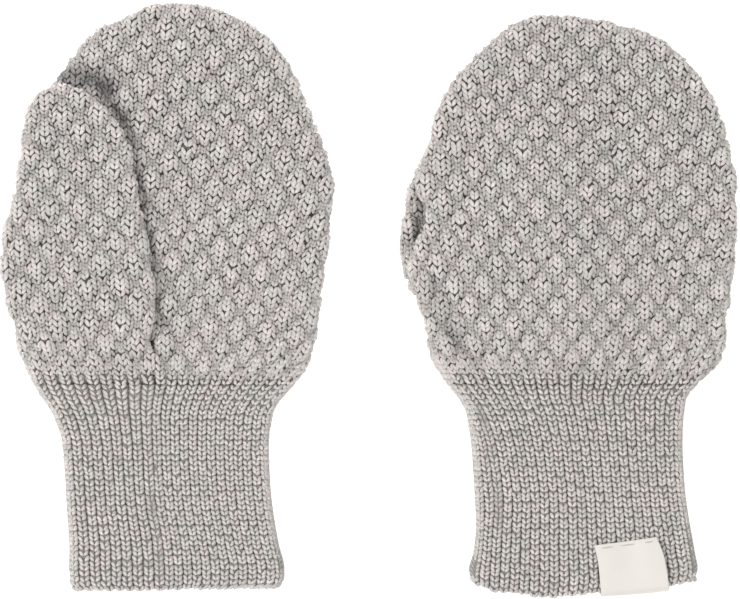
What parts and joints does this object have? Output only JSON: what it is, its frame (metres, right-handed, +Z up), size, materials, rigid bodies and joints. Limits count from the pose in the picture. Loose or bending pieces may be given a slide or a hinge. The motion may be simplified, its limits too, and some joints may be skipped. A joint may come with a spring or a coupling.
{
  "type": "pair of child's knitted mittens",
  "caption": "Flat-lying pair of child's mittens in bubble stitch, with ribbed cuffs, one thumb folded over the palm and one folded beneath.",
  "frame": {"origin": "middle of the pair's bounding box, on the surface it lies on", "axes": "+X from the left mitten to the right one, +Y from the cuffs to the fingertips, +Z up off the surface"},
  "size_m": [0.1882, 0.152, 0.0106],
  "materials": {
    "knit": "light warm grey melange wool knit, matt",
    "label": "cream woven cotton, matt"
  },
  "bodies": {
    "root": {"left_cuff": "knit", "left_back": "knit", "left_palm": "knit", "left_thumb_outer": "knit", "left_thumb_inner": "knit", "right_cuff": "knit", "right_back": "knit", "right_palm": "knit", "right_thumb_outer": "knit", "right_thumb_inner": "knit", "right_label": "label"}
  },
  "joints": []
}
